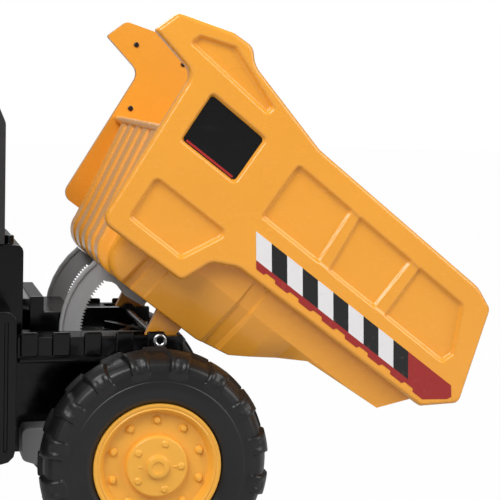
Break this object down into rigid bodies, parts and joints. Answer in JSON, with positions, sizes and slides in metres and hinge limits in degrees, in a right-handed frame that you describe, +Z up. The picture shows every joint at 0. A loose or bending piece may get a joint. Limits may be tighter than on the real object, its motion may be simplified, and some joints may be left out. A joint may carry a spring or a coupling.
{
  "type": "ride-on tipper truck",
  "caption": "Child's ride-on tipper truck with a geared tipping dump bed, wide lugged wheels, steered front wheels, seat and step fairings.",
  "frame": {"origin": "middle of the whole bounding box at ground level, with the bed raised", "axes": "+X to the rear, along the length; +Y to the truck's right; +Z up"},
  "size_m": [1.3366, 0.536, 0.7986],
  "materials": {
    "yellow_plastic": "glossy injection-moulded yellow-orange plastic",
    "black_plastic": "glossy moulded black plastic",
    "seat_plastic": "grained satin black plastic",
    "grey_plastic": "unpainted light grey gear plastic",
    "hub_plastic": "satin yellow moulded hub",
    "tyre": "satin black blow-moulded tyre with shoulder lugs",
    "steel": "zinc-plated steel",
    "black_steel": "black painted steel bar",
    "battery_case": "plain dark grey battery case",
    "lamp_lens": "clear moulded lens",
    "red_plastic": "red button plastic"
  },
  "bodies": {
    "chassis": {"chassis_frame": "black_plastic", "deck_plate": "black_plastic", "side_rail_left": "black_plastic", "side_rail_right": "black_plastic", "hinge_rod": "steel", "hinge_nut_left": "steel", "hinge_nut_right": "steel", "rear_axle": "steel", "drive_gearbox_left": "grey_plastic", "drive_gearbox_right": "grey_plastic", "tip_gearbox": "grey_plastic", "tip_motor": "steel", "battery": "battery_case", "seat_base": "black_plastic", "seat_box": "black_plastic", "seat_pan": "seat_plastic", "seat_back": "seat_plastic", "side_step_left": "black_plastic", "side_step_right": "black_plastic", "hood": "yellow_plastic", "lamp_lens_left": "lamp_lens", "lamp_lens_right": "lamp_lens", "grille": "black_plastic", "bumper": "black_plastic", "dashboard": "black_plastic", "front_axle_beam": "black_steel"},
    "dump_bed": {"bed_hopper": "yellow_plastic", "bed_front_wall": "yellow_plastic", "bed_side_left": "yellow_plastic", "bed_side_right": "yellow_plastic", "bed_inner_skin_left": "yellow_plastic", "bed_inner_skin_right": "yellow_plastic", "hinge_leg_left": "yellow_plastic", "hinge_leg_right": "yellow_plastic", "tip_arc_left": "grey_plastic", "tip_arc_right": "grey_plastic"},
    "tip_drive": {"tip_shaft": "steel", "tip_pinion_left": "grey_plastic", "tip_pinion_right": "grey_plastic"},
    "steering": {"steering_wheel": "black_plastic", "steering_rod": "steel"},
    "horn": {"horn_button": "red_plastic"},
    "steer_left": {"knuckle_left": "steel"},
    "steer_right": {"knuckle_right": "steel"},
    "link": {"tie_rod": "steel"},
    "wheel_rear_left": {"rear_left_tyre": "tyre", "rear_left_hub": "hub_plastic", "rear_left_cap": "hub_plastic"},
    "wheel_rear_right": {"rear_right_tyre": "tyre", "rear_right_hub": "hub_plastic", "rear_right_cap": "hub_plastic"},
    "wheel_front_left": {"front_left_tyre": "tyre", "front_left_hub": "hub_plastic", "front_left_cap": "hub_plastic"},
    "wheel_front_right": {"front_right_tyre": "tyre", "front_right_hub": "hub_plastic", "front_right_cap": "hub_plastic"},
    "accelerator": {"pedal": "black_plastic"},
    "gear_lever": {"direction_lever": "black_plastic"},
    "rocker": {"tip_switch": "red_plastic"}
  },
  "joints": [
    {"name": "bed_tip", "type": "hinge", "parent": "chassis", "child": "dump_bed", "pos_m": [0.1904, 0, 0.3319], "axis": [0, 1, 0], "range_deg": [-37, 0]},
    {"name": "tip_shaft_turn", "type": "hinge", "parent": "chassis", "child": "tip_drive", "pos_m": [0.10883, 0, 0.29386], "axis": [0, 1, 0], "range_deg": [-259, 0]},
    {"name": "steer", "type": "hinge", "parent": "chassis", "child": "steering", "pos_m": [-0.2933, 0, 0.56], "axis": [0.2569, 0, 0.9664], "range_deg": [-36, 36]},
    {"name": "horn_press", "type": "slide", "parent": "steering", "child": "horn", "axis": [0.2569, 0, 0.9664], "range_m": [-0.003, 0], "stiffness_N_per_m": 300, "springref_m": 0.002},
    {"name": "steer_left_pivot", "type": "hinge", "parent": "chassis", "child": "steer_left", "pos_m": [-0.4233, -0.15, 0.165], "axis": [0, 0, 1], "range_deg": [-18, 18]},
    {"name": "steer_right_pivot", "type": "hinge", "parent": "chassis", "child": "steer_right", "pos_m": [-0.4233, 0.15, 0.165], "axis": [0, 0, 1], "range_deg": [-18, 18]},
    {"name": "tie_rod_slide", "type": "slide", "parent": "chassis", "child": "link", "axis": [0, 1, 0], "range_m": [-0.0158, 0.0158]},
    {"name": "rear_left_spin", "type": "hinge", "parent": "chassis", "child": "wheel_rear_left", "pos_m": [0.1767, -0.226, 0.165], "axis": [0, 1, 0], "continuous": true},
    {"name": "rear_right_spin", "type": "hinge", "parent": "chassis", "child": "wheel_rear_right", "pos_m": [0.1767, 0.226, 0.165], "axis": [0, 1, 0], "continuous": true},
    {"name": "front_left_spin", "type": "hinge", "parent": "steer_left", "child": "wheel_front_left", "pos_m": [-0.4233, -0.226, 0.165], "axis": [0, 1, 0], "continuous": true},
    {"name": "front_right_spin", "type": "hinge", "parent": "steer_right", "child": "wheel_front_right", "pos_m": [-0.4233, 0.226, 0.165], "axis": [0, 1, 0], "continuous": true},
    {"name": "pedal_press", "type": "hinge", "parent": "chassis", "child": "accelerator", "pos_m": [-0.2433, 0.055, 0.2215], "axis": [0, 1, 0], "range_deg": [-13, 0], "stiffness_Nm_per_rad": 0.6, "springref_deg": 14.32},
    {"name": "direction_shift", "type": "hinge", "parent": "chassis", "child": "gear_lever", "pos_m": [-0.3243, 0.078, 0.475], "axis": [0, 1, 0], "range_deg": [-12, 12]},
    {"name": "tip_rocker", "type": "hinge", "parent": "chassis", "child": "rocker", "pos_m": [-0.3283, -0.078, 0.5105], "axis": [0, 1, 0], "range_deg": [-8, 8], "stiffness_Nm_per_rad": 0.05}
  ],
  "couplings": [
    {"joint": "tip_shaft_turn", "follows": "bed_tip", "ratio": 7},
    {"joint": "steer_left_pivot", "follows": "steer", "ratio": 0.5},
    {"joint": "steer_right_pivot", "follows": "steer", "ratio": 0.5},
    {"joint": "tie_rod_slide", "follows": "steer", "m_per_rad": 0.025}
  ]
}
